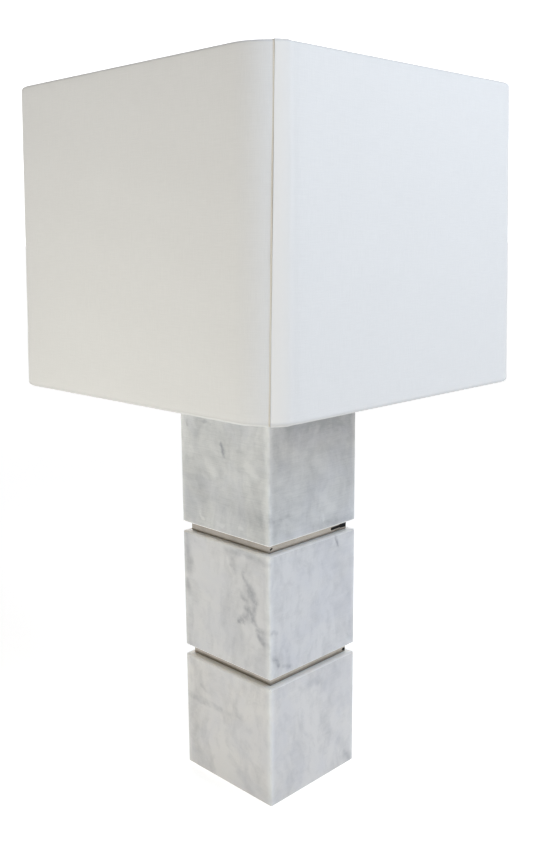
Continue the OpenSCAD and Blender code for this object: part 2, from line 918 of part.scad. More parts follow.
// Turned finial: a foot, a slim stem and a ball, bored for the stud
module finial() {
    foot = 2.5;
    stem_wall = 1.5;
    stem_d = stud_d + 2 * stem_wall;
    color("silver")
        translate([0, 0, z_finial])
            difference() {
                union() {
                    cylinder(d = finial_foot_d, h = foot);
                    cylinder(d = stem_d, h = finial_height - finial_ball_d / 2);
                    translate([0, 0, finial_height - finial_ball_d / 2]) sphere(d = finial_ball_d);
                }
                translate([0, 0, -over]) cylinder(d = stud_d + 2 * fit, h = finial_bore + over);
            }
}

felt_pad();
lower_block();
lower_spacer();
middle_block();
upper_spacer();
upper_block();
cord_bushing();
lamp_pipe();
bottom_washer();
bottom_lockwasher();
bottom_nut();
check_ring();
neck();
harp_saddle();
saddle_locknut();
harp_wire();
harp_crown();
left_ferrule();
right_ferrule();
socket_cap();
socket_shell();
socket_liner();
switch_body();
terminal_screws();
screw_shell();
centre_contact();
switch_shaft();
switch_knob();
bulb_contact();
bulb_insulator();
bulb_base();
bulb_glass();
shade_liner();
shade_fabric();
seam_lap();
top_hem();
bottom_hem();
top_ring();
bottom_ring();
shade_hub();
left_arm();
right_arm();
front_arm();
back_arm();
finial();
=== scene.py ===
"""Looks for a marble table lamp with a square fabric shade, built round its CAD frame.

Sizes are in metres, apart from those that a comment gives in millimetres.
"""

import math
from functools import partial

import bpy
import numpy as np
from mathutils import Matrix, Vector


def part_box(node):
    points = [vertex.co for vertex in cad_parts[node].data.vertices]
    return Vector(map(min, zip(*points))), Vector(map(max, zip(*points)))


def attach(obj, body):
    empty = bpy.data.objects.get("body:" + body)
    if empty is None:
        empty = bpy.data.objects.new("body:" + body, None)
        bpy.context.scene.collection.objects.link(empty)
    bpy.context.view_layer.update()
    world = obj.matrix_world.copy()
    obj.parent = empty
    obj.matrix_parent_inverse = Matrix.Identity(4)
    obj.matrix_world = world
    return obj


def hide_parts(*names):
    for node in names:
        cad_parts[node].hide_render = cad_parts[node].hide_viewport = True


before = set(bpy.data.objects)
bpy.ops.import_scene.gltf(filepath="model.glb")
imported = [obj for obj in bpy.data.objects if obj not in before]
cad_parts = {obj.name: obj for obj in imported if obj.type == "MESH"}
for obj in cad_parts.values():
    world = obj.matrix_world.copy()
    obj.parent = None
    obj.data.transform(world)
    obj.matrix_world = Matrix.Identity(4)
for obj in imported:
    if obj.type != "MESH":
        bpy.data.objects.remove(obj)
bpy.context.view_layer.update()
scene = bpy.context.scene

# Camera at the photograph's viewpoint; its lens and sensor are in mm
CAMERA_AT = (-0.6784, -0.6761, 0.5653)
CAMERA_HEADING = math.radians(45)
CAMERA_PITCH = math.radians(11.113)
CAMERA_ROLL = math.radians(-0.48)
CAMERA_LENS, CAMERA_SENSOR = 40.626, 36

# Form of the shade, as in the CAD frame
SHADE_LOW, SHADE_HIGH = 0.4218, 0.7043
BOTTOM_SIDE, TOP_SIDE = 0.362, 0.349
CORNER = 0.038
FRONT_CORNER = math.radians(225)
CLOTH = 0.0006
# Lap of the cloth: its width, how far it lies out, and the width over which it comes down
LAP_WIDTH = 0.012
LAP_LIFT = 0.0007
LAP_FALL = 0.006
# Radius of the hems, and the degrees that the cloth and the seam's glue go round each wire
HEM_RADIUS = 0.00265
HEM_TURN = 293
SEAM_TURN = 120
# Distance of the seam from the middle of the front corner, at the bottom and at the top
SEAM_LOW, SEAM_HIGH = 0.0013, 0.0067
# Liner: how far it is set in, how thick it is, and how far it ends from the shade's ends
LINER_INSET, LINER, LINER_END = 0.0007, 0.0008, 0.0045

# Bands of tone: doubled cloth beside the seam, painted shade on the bottom hem, painted highlight
# along the blocks' upright edges
DOUBLED_BAND = 0.003, 0.021
HEM_PAINTED_SHADE = SHADE_LOW + 0.0002, SHADE_LOW + 0.0042
EDGE_HIGHLIGHT_BAND = 0.0555, 0.0634

# Colours of the stone; the first is a share of the block's own white
CLOUD_GREY = (0.555, 0.565, 0.585)
BLUE_HAZE = (0.50, 0.51, 0.57)
VEIN_GREY = (0.225, 0.228, 0.255)
# Painted highlight along the blocks' upright edges
EDGE_HIGHLIGHT_WHITE = (0.83, 0.84, 0.82)
# Painted light on the blocks' faces that look up or down
UP_DOWN_LIGHT_WHITE = (0.97, 0.945, 0.90)
SUGAR_WHITE = (0.9, 0.9, 0.9)
# Near-black of the dark spots on the metal between the blocks
DARK_SPOT_BLACK = (0.006, 0.006, 0.006)

# Pitch of the bulb's screw, and of the pipe and the harp's stud
BULB_PITCH = 0.00363
FINE_PITCH = 0.00094


def place_camera():
    """Camera with no shift and no depth of field; the roll is the photograph's own."""
    level = Vector((math.sin(CAMERA_HEADING), -math.cos(CAMERA_HEADING), 0))
    ahead = Vector((math.cos(CAMERA_HEADING), math.sin(CAMERA_HEADING), 0)) * math.cos(CAMERA_PITCH)
    ahead.z = -math.sin(CAMERA_PITCH)
    above = level.cross(ahead)
    across = level * math.cos(CAMERA_ROLL) + above * math.sin(CAMERA_ROLL)
    upward = above * math.cos(CAMERA_ROLL) - level * math.sin(CAMERA_ROLL)
    camera = bpy.data.objects.new("camera", bpy.data.cameras.new("camera"))
    camera.data.lens = CAMERA_LENS
    camera.data.sensor_width = CAMERA_SENSOR
    turned = Matrix((across, upward, -ahead)).transposed().to_4x4()
    camera.matrix_world = Matrix.Translation(CAMERA_AT) @ turned
    scene.collection.objects.link(camera)
    scene.camera = camera


class Paint:
    """A node material round one Principled shader; values are numbers or other sockets."""

    def __init__(self, name, **sockets):
        self.material = bpy.data.materials.new(name)
        self.material.use_nodes = True
        self.tree = self.material.node_tree
        self.shader = self.tree.nodes["Principled BSDF"]
        self.set(**sockets)

    def feed(self, socket, value):
        if isinstance(value, bpy.types.NodeSocket):
            self.tree.links.new(value, socket)
        elif socket.type == "RGBA" and len(value) == 3:
            socket.default_value = (*value, 1)
        else:
            socket.default_value = value

    def set(self, **sockets):
        for name, value in sockets.items():
            self.feed(self.shader.inputs[name.replace("_", " ")], value)

    def add(self, kind, inputs=(), out=0, **settings):
        node = self.tree.nodes.new("ShaderNode" + kind)
        for name, value in settings.items():
            setattr(node, name, value)
        for key, value in dict(inputs).items():
            self.feed(node.inputs[key], value)
        return node.outputs[out]

    def place(self, shift=(0, 0, 0), stretch=(1, 1, 1)):
        """The piece's own coordinates, moved and stretched."""
        here = self.add("TexCoord", out="Object")
        return self.add("Mapping", {"Vector": here, "Location": shift, "Scale": stretch})

    def math(self, kind, a, b=0.0, clamp=False):
        return self.add("Math", {0: a, 1: b}, operation=kind, use_clamp=clamp)

    def noise(self, at, scale, detail=3.0, rough=0.5, out="Fac"):
        values = {"Vector": at, "Scale": scale, "Detail": detail, "Roughness": rough}
        return self.add("TexNoise", values, out=out)

    def ramp(self, value, low, high, to_low=0.0, to_high=1.0):
        """Smooth step of a value between low and high."""
        values = {
            "Value": value, "From Min": low, "From Max": high, "To Min": to_low, "To Max": to_high,
        }
        return self.add("MapRange", values, interpolation_type="SMOOTHSTEP")

    def patches(self, at, scale, detail, rough, low, high, *to):
        """Noise turned into patches by a smooth step between low and high."""
        return self.ramp(self.noise(at, scale, detail, rough), low, high, *to)

    def axis(self, at, index):
        """One coordinate of a place: 0, 1 or 2."""
        return self.add("SeparateXYZ", {0: at}, out=index)

    def mix(self, share, a, b):
        return self.add("Mix", {0: share, 6: a, 7: b}, out=2, data_type="RGBA")

    def bump(self, height, depth):
        return self.add("Bump", {"Height": height, "Distance": depth, "Strength": 1.0})


def stroke_group():
    """Node group: nearness of a point to the line from A to B, 1 on it and 0 beyond Radius."""
    group = bpy.data.node_groups.new("stroke", "ShaderNodeTree")
    for name, kind in (("At", "Vector"), ("A", "Vector"), ("B", "Vector"), ("Radius", "Float")):
        group.interface.new_socket(name, in_out="INPUT", socket_type="NodeSocket" + kind)
    group.interface.new_socket("Near", in_out="OUTPUT", socket_type="NodeSocketFloat")
    given = group.nodes.new("NodeGroupInput").outputs
    result = group.nodes.new("NodeGroupOutput").inputs[0]

    def vector(kind, a, b=None, out=0):
        node = group.nodes.new("ShaderNodeVectorMath")
        node.operation = kind
        group.links.new(a, node.inputs[0])
        if b is not None:
            group.links.new(b, node.inputs["Scale" if kind == "SCALE" else 1])
        return node.outputs[out]

    start = vector("SUBTRACT", given["At"], given["A"])
    along = vector("SUBTRACT", given["B"], given["A"])
    share = group.nodes.new("ShaderNodeMath")
    share.operation = "DIVIDE"
    share.use_clamp = True
    group.links.new(vector("DOT_PRODUCT", start, along, out=1), share.inputs[0])
    group.links.new(vector("DOT_PRODUCT", along, along, out=1), share.inputs[1])
    nearest = vector("SCALE", along, share.outputs[0])
    away = vector("LENGTH", vector("SUBTRACT", start, nearest), out=1)
    fade = group.nodes.new("ShaderNodeMapRange")
    fade.interpolation_type = "SMOOTHSTEP"
    group.links.new(away, fade.inputs["Value"])
    group.links.new(given["Radius"], fade.inputs["From Min"])
    fade.inputs["From Max"].default_value = 0
    group.links.new(fade.outputs[0], result)
    return group


STROKE = stroke_group()


def stroke_sum(p, strokes, at):
    """Greatest nearness of a point to any of the strokes: start, end, radius in mm, strength."""
    total = 0.0
    for a, b, radius, strength in strokes:
        start, end = ([x / 1000 for x in place] for place in (a, b))
        values = {"At": at, "A": start, "B": end, "Radius": radius / 1000}
        near = p.math("MULTIPLY", p.add("Group", values, node_tree=STROKE), strength)
        total = p.math("MAXIMUM", total, near)
    return total


def marble(name, shift, white, grey, sawn, marks):
    """White marble, with painted light on its faces that look up or down and a painted highlight
    along its upright edges. Its marks are veins, clouds and pale strokes, and on the upper block a
    painted shadow under the shade.
    """
    veins, clouds_and_shadow, pale = marks
    p = Paint(name, Specular_IOR_Level=0.42, Subsurface_Weight=0.4, Subsurface_Scale=0.005)
    p.set(Subsurface_Radius=(1.0, 0.92, 0.84))
    here = p.add("TexCoord", out="Object")
    at = p.place(shift)

    def bend(base, scale, detail, reach):
        """Places pushed about by coloured noise, so that nothing runs straight."""
        noise = p.noise(at, scale, detail, out="Color")
        push = p.add("VectorMath", {0: noise, 1: (0.5,) * 3}, operation="SUBTRACT")
        values = {0: push, 1: (reach,) * 3, 2: base}
        return p.add("VectorMath", values, operation="MULTIPLY_ADD")

    bent = bend(at, 13, 3, 0.06)
    wobbled = bend(here, 60, 4, 0.012)

    # Greyness: slow drift, upright bands, mottling, specks, saw lines and clouds (on the upper
    # block also a painted shadow under the shade), less pale strokes
    drift = p.patches(bent, 16, 5, 0.5, 0.36, 0.70)
    upright = p.add("Mapping", {"Vector": bent, "Scale": (75, 75, 18), "Rotation": (0.1, 0.12, 0)})
    bands = p.patches(upright, 1, 5, 0.55, 0.40, 0.70)
    mottle = p.patches(bent, 80, 6, 0.62, 0.38, 0.70)
    specks = p.patches(here, 420, 3, 0.6, 0.40, 0.66)
    level = {"Vector": here, "Scale": (45, 45, 1300), "Rotation": (0.06, -0.06, 0)}
    saw = p.patches(p.add("Mapping", level), 1, 3, 0.7, 0.35, 0.75, -0.05 * sawn, 0.09 * sawn)
    broken = p.patches(here, 110, 4, 0.6, 0.30, 0.62, 0.6, 1.15)
    cloud_and_shadow_tone = p.math("MULTIPLY", stroke_sum(p, clouds_and_shadow, wobbled), broken)
    shade = p.math("MULTIPLY", drift, 0.22)
    for layer, weight in ((bands, 0.24), (mottle, 0.22), (specks, 0.05)):
        shade = p.math("ADD", shade, p.math("MULTIPLY", layer, weight))
    shade = p.math("ADD", shade, saw)
    shade = p.math("ADD", shade, p.math("ADD", cloud_and_shadow_tone, grey))
    shade = p.math("SUBTRACT", shade, stroke_sum(p, pale, wobbled), clamp=True)
    color = p.mix(shade, white, tuple(c * k for c, k in zip(white, CLOUD_GREY)))
    color = p.mix(p.patches(bent, 24, 3, 0.5, 0.42, 0.66, 0.0, 0.22), color, BLUE_HAZE)

    # Veins, broken into grains and clumps
    grains = p.patches(here, 260, 5, 0.7, 0.32, 0.60, 0.4, 1.0)
    clumps = p.patches(here, 120, 3, 0.6, 0.32, 0.55, 0.5, 1.0)
    vein = p.math("MULTIPLY", p.math("MULTIPLY", stroke_sum(p, veins, wobbled), grains), clumps)
    color = p.mix(vein, color, VEIN_GREY)

    # Painted highlight along the upright edges, painted light on the faces that look up or down,
    # and the stone's sugary grain
    sides = p.add("VectorMath", {0: here}, operation="ABSOLUTE")
    across = p.math("MINIMUM", p.axis(sides, 0), p.axis(sides, 1))
    ragged = p.patches(here, 90, 4, 0.5, 0.3, 0.65, 0.4, 1.0)
    edge_highlight = p.math("MULTIPLY", p.ramp(across, *EDGE_HIGHLIGHT_BAND, 0.0, 0.54), ragged)
    color = p.mix(edge_highlight, color, EDGE_HIGHLIGHT_WHITE)
    facing = p.axis(p.add("TexCoord", out="Normal"), 2)
    up_down_light = p.ramp(p.math("ABSOLUTE", facing), 0.4, 0.9, 0.0, 0.82)
    color = p.mix(up_down_light, color, UP_DOWN_LIGHT_WHITE)
    sugar = p.noise(here, 1500, 2, 0.6)
    color = p.mix(p.ramp(sugar, 0.35, 0.75, 0.0, 0.09), color, SUGAR_WHITE)
    p.set(Base_Color=color, Roughness=p.patches(here, 160, 4, 0.5, 0.3, 0.7, 0.30, 0.42))
    p.set(Normal=p.bump(p.math("ADD", sugar, p.noise(here, 240, 3)), 0.00004))
    return p.material


def metal(name, color, rough, along=(1, 1, 1), grain=900, spots=()):
    """Metal with fine lines along one axis, faint stains, dark spots, and roughness that varies."""
    stain_depth, line_depth = 0.12, 0.00001
    p = Paint(name, Metallic=1.0)
    lines = p.noise(p.place(stretch=along), grain, 3, 0.6)
    stains = p.noise(p.place((3.1, 1.7, 0.4)), 60, 4, 0.6)
    darker = tuple(c * (1 - stain_depth) for c in color)
    tone = p.mix(p.ramp(stains, 0.35, 0.7), color, darker)
    if spots:
        near = stroke_sum(p, spots, p.add("TexCoord", out="Object"))
        tone = p.mix(p.ramp(near, 0.12, 0.35), tone, DARK_SPOT_BLACK)
    p.set(Base_Color=tone)
    wear = p.math("ADD", p.math("MULTIPLY", lines, 0.5), p.math("MULTIPLY", stains, 0.5))
    p.set(Roughness=p.ramp(wear, 0.25, 0.75, rough * 0.7, rough * 1.4))
    p.set(Normal=p.bump(lines, line_depth))
    return p.material


def threaded(name, color, rough, pitch, depth):
    """Metal with a screw thread round Z."""
    p = Paint(name, Metallic=1.0, Base_Color=color)
    here = p.add("TexCoord", out="Object")
    x, y, height = (p.axis(here, index) for index in range(3))
    turn = p.math("DIVIDE", p.math("ARCTAN2", y, x), 2 * math.pi)
    ridge = p.math("PINGPONG", p.math("ADD", p.math("DIVIDE", height, pitch), turn), 0.5)
    p.set(Roughness=p.patches(here, 300, 3, 0.5, 0.3, 0.7, rough * 0.8, rough * 1.3))
    p.set(Normal=p.bump(ridge, depth))
    return p.material


def cloth(name, color, thread, slub, doubled=None):
    """Plain weave on the map called cloth, in metres, with slubs along both threads.

    It has painted shade on the bottom hem, and has the colour doubled beside the seam.
    """
    p = Paint(name, Sheen_Weight=0.2, Sheen_Roughness=0.5, Specular_IOR_Level=0.2)
    uv = p.add("UVMap", uv_map="cloth")
    u, v = (p.axis(uv, index) for index in range(2))
    wobble = p.math("MULTIPLY", p.noise(uv, 90, 2), 0.4)
    turn = math.pi / thread
    over, under = (
        p.math("SINE", p.math("ADD", p.math("MULTIPLY", along, turn), wobble)) for along in (u, v)
    )
    weave = p.math("MULTIPLY", over, under)
    warp, weft = (
        p.noise(p.add("Mapping", {"Vector": uv, "Scale": scale}), 1, 2, 0.6)
        for scale in ((1500, 70, 1), (60, 1500, 1))
    )
    threads = p.math("ADD", p.math("MULTIPLY", warp, 0.5), p.math("MULTIPLY", weft, 0.5))
    low = tuple(c * (1 - slub) for c in color)
    high = tuple(min(1, c * (1 + slub)) for c in color)
    tone = p.mix(p.ramp(threads, 0.36, 0.64), low, high)
    tone = p.mix(p.ramp(weave, -1, 1, 0.06, 0.0), tone, tuple(c * 0.6 for c in color))
    if doubled:
        tone = p.mix(p.ramp(u, *DOUBLED_BAND, 1.0, 0.0), tone, doubled)
    height = p.axis(p.add("TexCoord", out="Object"), 2)
    # Painted shade along the bottom hem
    tone = p.mix(p.ramp(height, *HEM_PAINTED_SHADE, 0.9, 0.0), tone, tuple(c * 0.72 for c in color))
    relief = p.math("ADD", weave, p.math("MULTIPLY", threads, 1.2))
    p.set(Base_Color=tone, Roughness=p.ramp(threads, 0.3, 0.7, 0.82, 0.95))
    p.set(Normal=p.bump(relief, 0.00004))
    return p.material


def soft_board(name, color, rough, fibre=0.03):
    """Card, lacquer or styrene: an even tone with faint fibres and a slight relief."""
    p = Paint(name, Specular_IOR_Level=0.3)
    at = p.place()
    spots = p.noise(at, 420, 4, 0.6)
    low, high = (tuple(min(1, c * (1 + k * fibre)) for c in color) for k in (-1, 1))
    p.set(Base_Color=p.mix(p.ramp(spots, 0.3, 0.7), low, high))
    p.set(Roughness=p.ramp(p.noise(at, 90, 3), 0.3, 0.7, rough * 0.85, rough * 1.1))
    p.set(Normal=p.bump(spots, 0.00002))
    return p.material


def felt(name):
    """Black felt of fine upright fibres, with paler patches."""
    p = Paint(name, Sheen_Weight=0.6, Sheen_Roughness=0.6, Roughness=0.95)
    at = p.place()
    fibres = p.noise(p.place(stretch=(1, 1, 0.4)), 1600, 4, 0.75)
    patches = p.noise(at, 70, 3)
    tone = p.mix(p.ramp(fibres, 0.3, 0.7), (0.028, 0.028, 0.031), (0.085, 0.085, 0.09))
    p.set(Base_Color=p.mix(p.ramp(patches, 0.3, 0.7, 0.0, 0.35), tone, (0.05, 0.05, 0.055)))
    p.set(Normal=p.bump(fibres, 0.0003))
    return p.material


def opal_glass(name):
    """White frosted glass with a clear outer coat."""
    p = Paint(name, Subsurface_Weight=0.4, Subsurface_Scale=0.003)
    p.set(Coat_Weight=0.35, Coat_Roughness=0.12)
    haze = p.noise(p.place(), 140, 3)
    p.set(Base_Color=p.mix(p.ramp(haze, 0.3, 0.7), (0.89, 0.88, 0.85), (0.92, 0.91, 0.88)))
    p.set(Subsurface_Radius=(1.0, 0.97, 0.94), Roughness=p.ramp(haze, 0.3, 0.7, 0.24, 0.34))
    return p.material


def dark_gloss(name, color, rough):
    """Glossy moulded resin or glass with a little dust."""
    p = Paint(name, Coat_Weight=0.3, Coat_Roughness=0.08)
    dust = p.noise(p.place(), 500, 3, 0.7)
    p.set(Base_Color=p.mix(p.ramp(dust, 0.45, 0.8), color, tuple(c * 1.6 + 0.01 for c in color)))
    p.set(Roughness=p.ramp(dust, 0.3, 0.8, rough, rough * 1.5), Normal=p.bump(dust, 0.00001))
    return p.material


def piece(name, points, faces, material, body, replaces=(), maps=None):
    """A mesh that rides on a body, takes its finish from a slot and stands for CAD nodes."""
    mesh = bpy.data.meshes.new(name)
    mesh.from_pydata([tuple(p) for p in points], [], [tuple(f) for f in faces])
    mesh.polygons.foreach_set("use_smooth", [True] * len(mesh.polygons))
    if maps is not None:
        layer = mesh.uv_layers.new(name="cloth")
        loops = np.array([loop.vertex_index for loop in mesh.loops])
        layer.uv.foreach_set("vector", np.asarray(maps, np.float32)[loops].ravel())
    mesh.materials.append(material)
    mesh.validate()
    made = bpy.data.objects.new(name, mesh)
    scene.collection.objects.link(made)
    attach(made, body)
    if replaces:
        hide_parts(*replaces)
    return made


def grid_faces(rows, columns, round_rows=False, round_columns=False):
    """Quads between rows of points, each row holding the same count of points."""
    last_row = rows if round_rows else rows - 1
    last_column = columns if round_columns else columns - 1
    found = []
    for i in range(last_row):
        for j in range(last_column):
            a, b = i * columns, (i + 1) % rows * columns
            k = (j + 1) % columns
            found.append((a + j, a + k, b + k, b + j))
    return found


def end_caps(rows, columns):
    """One face over the first row of points and one over the last."""
    return [tuple(range(columns))[::-1], tuple(range((rows - 1) * columns, rows * columns))]


def share_at(z):
    """Share of the shade's height at which a level lies."""
    return (z - SHADE_LOW) / (SHADE_HIGH - SHADE_LOW)


def side_at(z):
    """Width of the shade, which tapers to the top."""
    return BOTTOM_SIDE + (TOP_SIDE - BOTTOM_SIDE) * share_at(z)


def corner_at(z):
    """Radius of the shade's corners, which shrink with its width."""
    return CORNER * side_at(z) / BOTTOM_SIDE


def seam_angle(z):
    """Angle round the front corner at which the seam stands; it leans a little."""
    return FRONT_CORNER + (SEAM_LOW + (SEAM_HIGH - SEAM_LOW) * share_at(z)) / corner_at(z)


CORNER_SIGNS = ((-1, -1), (1, -1), (1, 1), (-1, 1))


def on_corner(corner, angle, inset, z):
    """Point and outward direction on a rounded corner of the shade, set in from its face."""
    radius = corner_at(z) - inset
    centre = side_at(z) / 2 - inset - radius
    out = np.array([math.cos(angle), math.sin(angle)])
    return np.array(CORNER_SIGNS[corner]) * centre + radius * out, out


def on_side(corner, share, inset, z):
    """Point and outward direction on the flat side that follows a corner."""
    angle = math.radians(270 + 90 * corner)
    start, out = on_corner(corner, angle, inset, z)
    end, _ = on_corner((corner + 1) % 4, angle, inset, z)
    return start + (end - start) * share, out


def round_stations():
    """Stations round a closed shade form: a function of inset and height each."""
    corner_steps, side_steps = 16, 20
    found = []
    for corner in range(4):
        for k in range(corner_steps):
            angle = math.radians(180 + 90 * corner + 90 * k / corner_steps)
            found.append(partial(on_corner, corner, angle))
        found += [partial(on_side, corner, k / side_steps) for k in range(side_steps)]
    return found


def lapped_stations():
    """Stations from the seam round to the seam again and on beneath the lap.

    Each is paired with its distance from the seam along the cloth.
    """
    first_steps, side_steps, corner_steps, last_steps = 30, 26, 18, 32
    middle = (SHADE_LOW + SHADE_HIGH) / 2
    radius = corner_at(middle)
    start = seam_angle(middle)
    first_end = math.radians(270)
    first = (first_end - start) * radius
    quarter = math.pi / 2 * radius
    straight = side_at(middle) - 2 * radius
    last = (start - math.pi) * radius + LAP_WIDTH

    def beside_seam(t, inset, z):
        begin = seam_angle(z)
        return on_corner(0, begin + (first_end - begin) * t, inset, z)

    def beneath_lap(t, inset, z):
        end = seam_angle(z) + LAP_WIDTH / corner_at(z)
        return on_corner(0, math.pi + (end - math.pi) * t, inset, z)

    found = []
    for k in range(first_steps):
        t = k / first_steps
        found.append((partial(beside_seam, t), first * t))
    gone = first
    for corner in range(4):
        for k in range(side_steps):
            t = k / side_steps
            found.append((partial(on_side, corner, t), gone + straight * t))
        gone += straight
        if corner < 3:
            for k in range(corner_steps):
                t = k / corner_steps
                angle = math.radians(270 + 90 * corner + 90 * t)
                found.append((partial(on_corner, corner + 1, angle), gone + quarter * t))
            gone += quarter
    for k in range(last_steps + 1):
        t = k / last_steps
        found.append((partial(beneath_lap, t), gone + last * t))
    return found


def hem_profile(turn=HEM_TURN):
    """The cloth's outer face, over the top wire, down the side and round the bottom wire.

    Each point holds its inset, its height, and the direction that the face looks in, as outward
    and upward shares.
    """
    round_steps, side_steps = 22, 42
    top, low = SHADE_HIGH - HEM_RADIUS, SHADE_LOW + HEM_RADIUS
    round_wire = []
    for k in range(round_steps + 1):
        angle = math.radians(turn * k / round_steps)
        out, up = math.cos(angle), math.sin(angle)
        round_wire.append((HEM_RADIUS * (1 - out), HEM_RADIUS * up, out, up))
    found = [(inset, top + rise, out, up) for inset, rise, out, up in reversed(round_wire)]
    found += [(0.0, top + (low - top) * k / side_steps, 1.0, 0.0) for k in range(1, side_steps)]
    found += [(inset, low - rise, out, -up) for inset, rise, out, up in round_wire]
    return found


def ripple(s, z):
    """Slight unevenness of stretched cloth, in metres, with no sharp features."""
    wide = math.sin(41 * s + 23 * z)
    slanted = 0.7 * math.sin(67 * s - 31 * z + 1.3)
    low = 0.5 * math.sin(97 * z + 19 * s + 0.6)
    return 0.00016 * (wide + slanted + low)


def edge_fade(z):
    """1 along the middle of the shade's height and 0 near its two wires."""
    still, change = 0.004, 0.03
    near = min(z - SHADE_LOW, SHADE_HIGH - z)
    return max(0.0, min(1.0, (near - still) / change))


def lap_height(s):
    """How far the cloth lies out over its own start: the whole lap, then down to nothing."""
    t = max(0.0, min(1.0, (s - LAP_WIDTH - 0.0005) / LAP_FALL))
    return LAP_LIFT * (1 - t * t * (3 - 2 * t))


def shade_cover():
    """One sheet of cloth: hemmed round both wires, and lapped at the front corner."""
    stations = lapped_stations()
    profile = hem_profile()
    outer, inner, maps = [], [], []
    length = 0.0
    for i, (inset, z, out, up) in enumerate(profile):
        if i:
            length += math.hypot(inset - profile[i - 1][0], z - profile[i - 1][1])
        for at, s in stations:
            point, direction = at(inset, z)
            lift = lap_height(s)
            if out == 1.0 and up == 0.0:
                lift += ripple(s, z) * edge_fade(z)
            for layer, depth in ((outer, 0.0), (inner, CLOTH)):
                move = lift - depth
                layer.append((*(point + direction * out * move), z + up * move))
            maps.append((s, length))
    rows, columns = len(profile), len(stations)
    shift = rows * columns
    faces = grid_faces(rows, columns)
    faces += [tuple(shift + k for k in reversed(f)) for f in grid_faces(rows, columns)]
    rim = [i * columns for i in range(rows)]
    end = [i * columns + columns - 1 for i in range(rows)]
    top, bottom = list(range(columns)), list(range(shift - columns, shift))
    for line, turned in ((rim, False), (end, True), (top, True), (bottom, False)):
        for a, b in zip(line, line[1:]):
            face = (a, b, shift + b, shift + a)
            faces.append(face if turned else tuple(reversed(face)))
    return piece("shade_cover", outer + inner, faces, CLOTH_PAINT, "shade",
                 ("shade_fabric", "seam_lap", "top_hem", "bottom_hem"), maps + maps)


def seam_line():
    """Thin line of dried glue along the lap's edge, from the top wire to the bottom one."""
    width, height = 0.0014, 0.0004
    points, maps = [], []
    profile = hem_profile(SEAM_TURN)
    ring = 8
    for inset, z, out, up in profile:
        for k in range(ring):
            turn = 2 * math.pi * k / ring
            s = -width / 2 + width / 2 * math.cos(turn)
            point, direction = on_corner(0, seam_angle(z) + s / corner_at(z), inset, z)
            rise = height * math.sin(turn)
            points.append((*(point + direction * out * rise), z + up * rise))
            maps.append((s, z))
    rows = len(profile)
    faces = grid_faces(rows, ring, round_columns=True) + end_caps(rows, ring)
    return piece("seam_line", points, faces, GLUE_PAINT, "shade", maps=maps)


def shade_lining():
    """Stiff white liner inside the cloth."""
    steps = 24
    stations = round_stations()
    top, low = SHADE_HIGH - LINER_END, SHADE_LOW + LINER_END
    heights = [top + (low - top) * k / steps for k in range(steps + 1)]
    rows = [(LINER_INSET, z) for z in heights]
    rows += [(LINER_INSET + LINER, z) for z in reversed(heights)]
    points = [(*at(inset, z)[0], z) for inset, z in rows for at in stations]
    faces = grid_faces(len(rows), len(stations), round_rows=True, round_columns=True)
    return piece("shade_lining", points, faces, LINER_PAINT, "shade",
                 ("shade_liner",))


def felt_sheet():
    """Felt pad under the lowest block, with its cut edge slightly rounded."""
    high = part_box("felt_pad")[1]
    half, thick, corner, soft, steps = high.x, high.z, 0.008, 0.0004, 12
    rows = [(soft * 2, 0), (soft, 0), (0, soft), (0, thick / 2)]
    rows += [(0, thick - soft), (soft, thick), (soft * 2, thick)]
    points = []
    for inset, z in rows:
        for sx, sy, start in ((-1, -1, 180), (1, -1, 270), (1, 1, 0), (-1, 1, 90)):
            for k in range(steps + 1):
                angle = math.radians(start + 90 * k / steps)
                radius = corner - inset
                points.append((sx * (half - corner) + radius * math.cos(angle),
                               sy * (half - corner) + radius * math.sin(angle), z))
    columns = 4 * (steps + 1)
    faces = grid_faces(len(rows), columns, round_columns=True) + end_caps(len(rows), columns)
    return piece("felt_sheet", points, faces, FELT_PAINT, "base", ("felt_pad",))


def arc(centre, radius, start, end, steps):
    """Points along an arc, from one angle to another in degrees."""
    angles = [math.radians(start + (end - start) * k / steps) for k in range(steps + 1)]
    return [(centre[0] + radius * math.cos(a), centre[1] + radius * math.sin(a)) for a in angles]


def harp_line():
    """Centreline of the harp's right half in mm, from the post to the middle of the top.

    The lean of the legs is found by halving, so that the harp comes out at its full height.
    """
    bow, leg, flare, bend, half_top = 25, 40, 60, 29, 10
    rise, reach, foot = 220, 47, 32
    foot_low, foot_high = 14, 28
    low, high = 15.0, 40.0
    for _ in range(40):
        lean = (low + high) / 2
        long_radius = bow / (1 - math.cos(math.radians(lean))) - flare
        top = bow / math.tan(math.radians(lean / 2)) + bend
        top += math.sqrt((reach - bend) * (2 * long_radius - bend - reach))
        low, high = (lean, high) if top > rise else (low, lean)
    wide = leg + bow / math.tan(math.radians(lean / 2))
    side_x = foot + bow - long_radius
    crown = leg + rise
    turn = math.degrees(math.asin((crown - wide - bend) / (long_radius - bend)))
    return (
        [(foot, foot_low), (foot, foot_high)]
        + arc((foot + flare, leg), flare, 180, 180 - lean, 10)
        + arc((side_x, wide), long_radius, -lean, turn, 30)[1:]
        + arc((half_top, crown - bend), bend, turn, 90, 14)[1:]
    )


